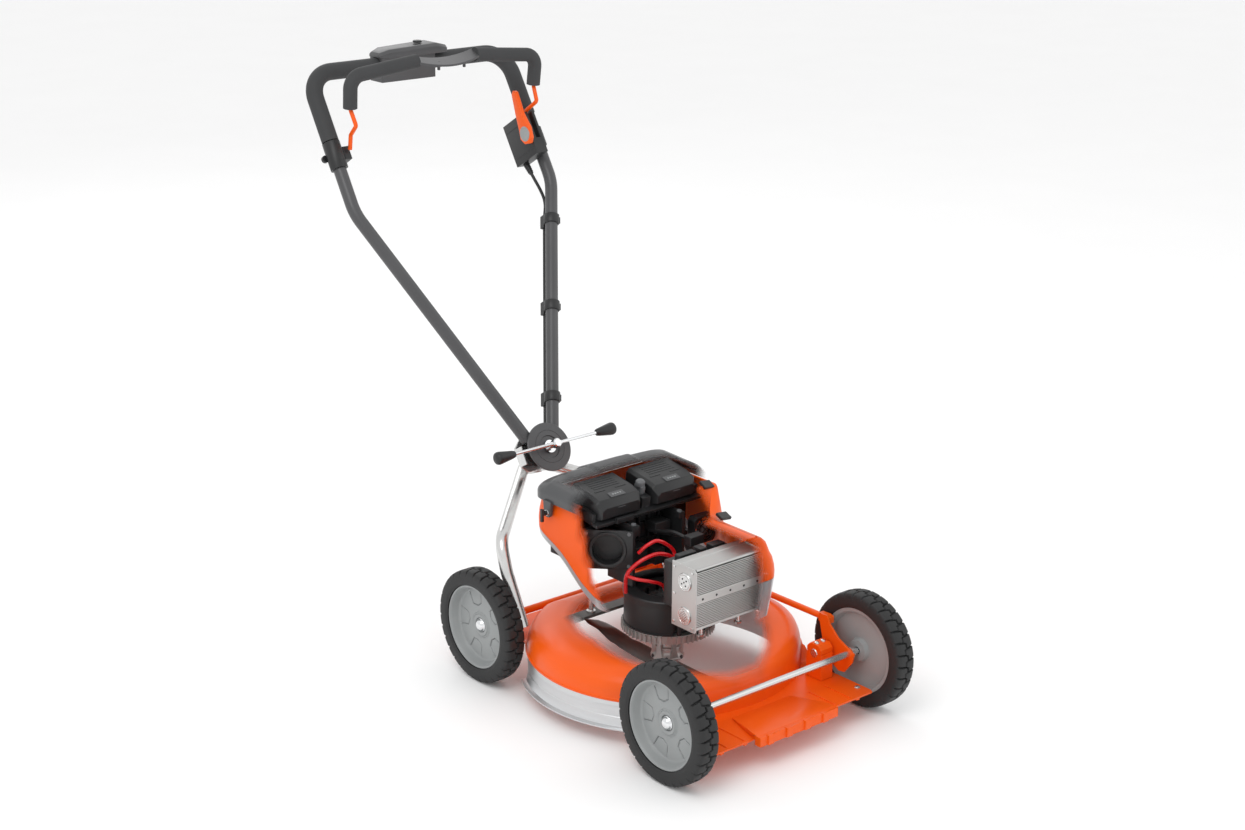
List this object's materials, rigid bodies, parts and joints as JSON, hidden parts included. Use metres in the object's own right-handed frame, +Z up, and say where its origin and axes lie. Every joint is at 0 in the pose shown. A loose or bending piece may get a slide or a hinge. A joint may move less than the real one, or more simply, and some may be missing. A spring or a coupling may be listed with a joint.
{
  "type": "push lawn mower",
  "caption": "Push lawn mower shown as a cutaway: finned controller and motor over a round orange deck, open battery bay, bent tube handle with bail, dished wheels.",
  "frame": {"origin": "centre of the bounding box's underside, on the ground between the four wheels", "axes": "+Z up, -Y forwards towards the front wheels, +Y back towards the operator, +X to the mower's left-hand side seen from the front"},
  "size_m": [0.5198, 1.1894, 1.1011],
  "materials": {
    "orange_paint": "satin powder coat",
    "orange_plastic": "satin moulded",
    "skirt_aluminium": "pressed, satin",
    "cast_aluminium": "as cast",
    "zinc_plate": "zinc plated",
    "chrome": "polished",
    "blade_steel": "dark hardened steel",
    "dark_grey_paint": "satin powder coat",
    "black_plastic": "fine texture",
    "lid_plastic": "satin moulded",
    "grip_foam": "soft foam",
    "tyre_rubber": "moulded tread",
    "rim_plastic": "light grey moulded",
    "red_insulation": "smooth wire insulation",
    "trim_silver": "silver painted plastic",
    "grey_plastic": "moulded"
  },
  "bodies": {
    "chassis": {"deck_shell": "orange_paint", "skirt_left": "skirt_aluminium", "skirt_right": "skirt_aluminium", "front_guard": "orange_paint", "cross_bar": "blade_steel", "pivot_block_front_right": "orange_paint", "pivot_block_front_left": "orange_paint", "pivot_block_rear_right": "orange_paint", "pivot_block_rear_left": "orange_paint", "motor_base": "cast_aluminium", "spindle_bearing": "chrome", "motor_stator": "black_plastic", "motor_shroud": "black_plastic", "heat_sink": "cast_aluminium", "sink_end_plate": "cast_aluminium", "controller_case": "black_plastic", "battery_tray": "black_plastic", "duct_housing": "black_plastic", "red_leads": "red_insulation", "black_leads": "black_plastic", "hood": "orange_plastic", "hood_trim": "trim_silver", "frame_tubes": "zinc_plate"},
    "rotor": {"rotor_shaft": "zinc_plate", "blade": "blade_steel"},
    "fan": {"cooling_fan": "grey_plastic"},
    "rear_carrier": {"rear_axle": "orange_paint", "height_lever": "orange_paint"},
    "front_carrier": {"front_axle": "orange_paint"},
    "link": {"link_rod": "orange_paint"},
    "lid_body": {"lid": "lid_plastic"},
    "latch": {"lid_latch": "black_plastic"},
    "left_battery": {"battery_left": "black_plastic"},
    "right_battery": {"battery_right": "black_plastic"},
    "key": {"safety_key": "grey_plastic"},
    "yoke": {"clamp_yoke": "zinc_plate"},
    "handle": {"handle_tube": "dark_grey_paint", "handle_socket": "black_plastic", "friction_disc": "dark_grey_paint", "grip": "grip_foam", "bail_bracket": "black_plastic", "switch_box": "black_plastic", "control_cable": "black_plastic", "control_panel": "dark_grey_paint"},
    "clamp": {"clamp_screw": "zinc_plate", "clamp_knob_left": "black_plastic", "clamp_knob_right": "black_plastic"},
    "bail": {"bail_rod_left": "orange_plastic", "bail_rod_right": "orange_plastic", "bail_handle": "dark_grey_paint"},
    "starter": {"start_lever": "orange_plastic"},
    "power": {"power_button": "black_plastic"},
    "wheel_front_left": {"tyre_front_left": "tyre_rubber", "rim_front_left": "rim_plastic"},
    "wheel_front_right": {"tyre_front_right": "tyre_rubber", "rim_front_right": "rim_plastic"},
    "wheel_rear_left": {"tyre_rear_left": "tyre_rubber", "rim_rear_left": "rim_plastic"},
    "wheel_rear_right": {"tyre_rear_right": "tyre_rubber", "rim_rear_right": "rim_plastic"}
  },
  "joints": [
    {"name": "blade_spin", "type": "hinge", "parent": "chassis", "child": "rotor", "pos_m": [0, -0.2184, 0.048], "axis": [0, 0, 1], "continuous": true},
    {"name": "fan_spin", "type": "hinge", "parent": "chassis", "child": "fan", "pos_m": [0.114, -0.1864, 0.279], "axis": [0, -1, 0], "continuous": true},
    {"name": "height_adjust", "type": "hinge", "parent": "chassis", "child": "rear_carrier", "pos_m": [0, 0.0822, 0.098], "axis": [1, 0, 0], "range_deg": [0, 24]},
    {"name": "front_height", "type": "hinge", "parent": "chassis", "child": "front_carrier", "pos_m": [0, -0.4394, 0.104], "axis": [1, 0, 0], "range_deg": [-0.5, 25]},
    {"name": "link_pivot", "type": "hinge", "parent": "rear_carrier", "child": "link", "pos_m": [0.1745, 0.0952, 0.148], "axis": [1, 0, 0], "range_deg": [-25, 0.5]},
    {"name": "roll_front_left", "type": "hinge", "parent": "front_carrier", "child": "wheel_front_left", "pos_m": [0.236, -0.4867, 0.108], "axis": [1, 0, 0], "continuous": true},
    {"name": "roll_front_right", "type": "hinge", "parent": "front_carrier", "child": "wheel_front_right", "pos_m": [-0.236, -0.4867, 0.108], "axis": [1, 0, 0], "continuous": true},
    {"name": "roll_rear_left", "type": "hinge", "parent": "rear_carrier", "child": "wheel_rear_left", "pos_m": [0.236, 0.0352, 0.108], "axis": [1, 0, 0], "continuous": true},
    {"name": "roll_rear_right", "type": "hinge", "parent": "rear_carrier", "child": "wheel_rear_right", "pos_m": [-0.236, 0.0352, 0.108], "axis": [1, 0, 0], "continuous": true},
    {"name": "lid_hinge", "type": "hinge", "parent": "chassis", "child": "lid_body", "pos_m": [0.155, -0.0904, 0.358], "axis": [0, 1, 0], "range_deg": [0, 95]},
    {"name": "latch_turn", "type": "hinge", "parent": "lid_body", "child": "latch", "pos_m": [-0.1578, -0.0614, 0.3395], "axis": [-1, 0, 0], "range_deg": [0, 90]},
    {"name": "left_battery_out", "type": "slide", "parent": "chassis", "child": "left_battery", "axis": [0, -0.1564, 0.9877], "range_m": [0, 0.08]},
    {"name": "right_battery_out", "type": "slide", "parent": "chassis", "child": "right_battery", "axis": [0, -0.1564, 0.9877], "range_m": [0, 0.08]},
    {"name": "key_out", "type": "slide", "parent": "chassis", "child": "key", "axis": [0, -0.1564, 0.9877], "range_m": [0, 0.03]},
    {"name": "handle_tilt", "type": "hinge", "parent": "chassis", "child": "yoke", "pos_m": [0, 0.1776, 0.327], "axis": [1, 0, 0], "range_deg": [-10, 18]},
    {"name": "handle_swivel", "type": "hinge", "parent": "yoke", "child": "handle", "pos_m": [0, 0.1323, 0.378], "axis": [0, -0.8541, 0.5201], "range_deg": [-12, 12]},
    {"name": "clamp_turn", "type": "hinge", "parent": "yoke", "child": "clamp", "pos_m": [0, 0.1323, 0.378], "axis": [0, -0.8541, 0.5201], "range_deg": [0, 170]},
    {"name": "bail_squeeze", "type": "hinge", "parent": "handle", "child": "bail", "pos_m": [0, 0.4676, 0.925], "axis": [-1, 0, 0], "range_deg": [0, 24], "stiffness_Nm_per_rad": 1.2, "springref_deg": -34.38},
    {"name": "start_pull", "type": "hinge", "parent": "handle", "child": "starter", "pos_m": [0.195, 0.4306, 0.917], "axis": [-1, 0, 0], "range_deg": [0, 18], "stiffness_Nm_per_rad": 0.3, "springref_deg": -11.46},
    {"name": "power_press", "type": "slide", "parent": "handle", "child": "power", "axis": [0, 0, -1], "range_m": [0, 0.001], "stiffness_N_per_m": 400, "springref_m": -0.0005}
  ],
  "couplings": [
    {"joint": "front_height", "follows": "height_adjust", "ratio": 1},
    {"joint": "link_pivot", "follows": "height_adjust", "ratio": -1}
  ]
}
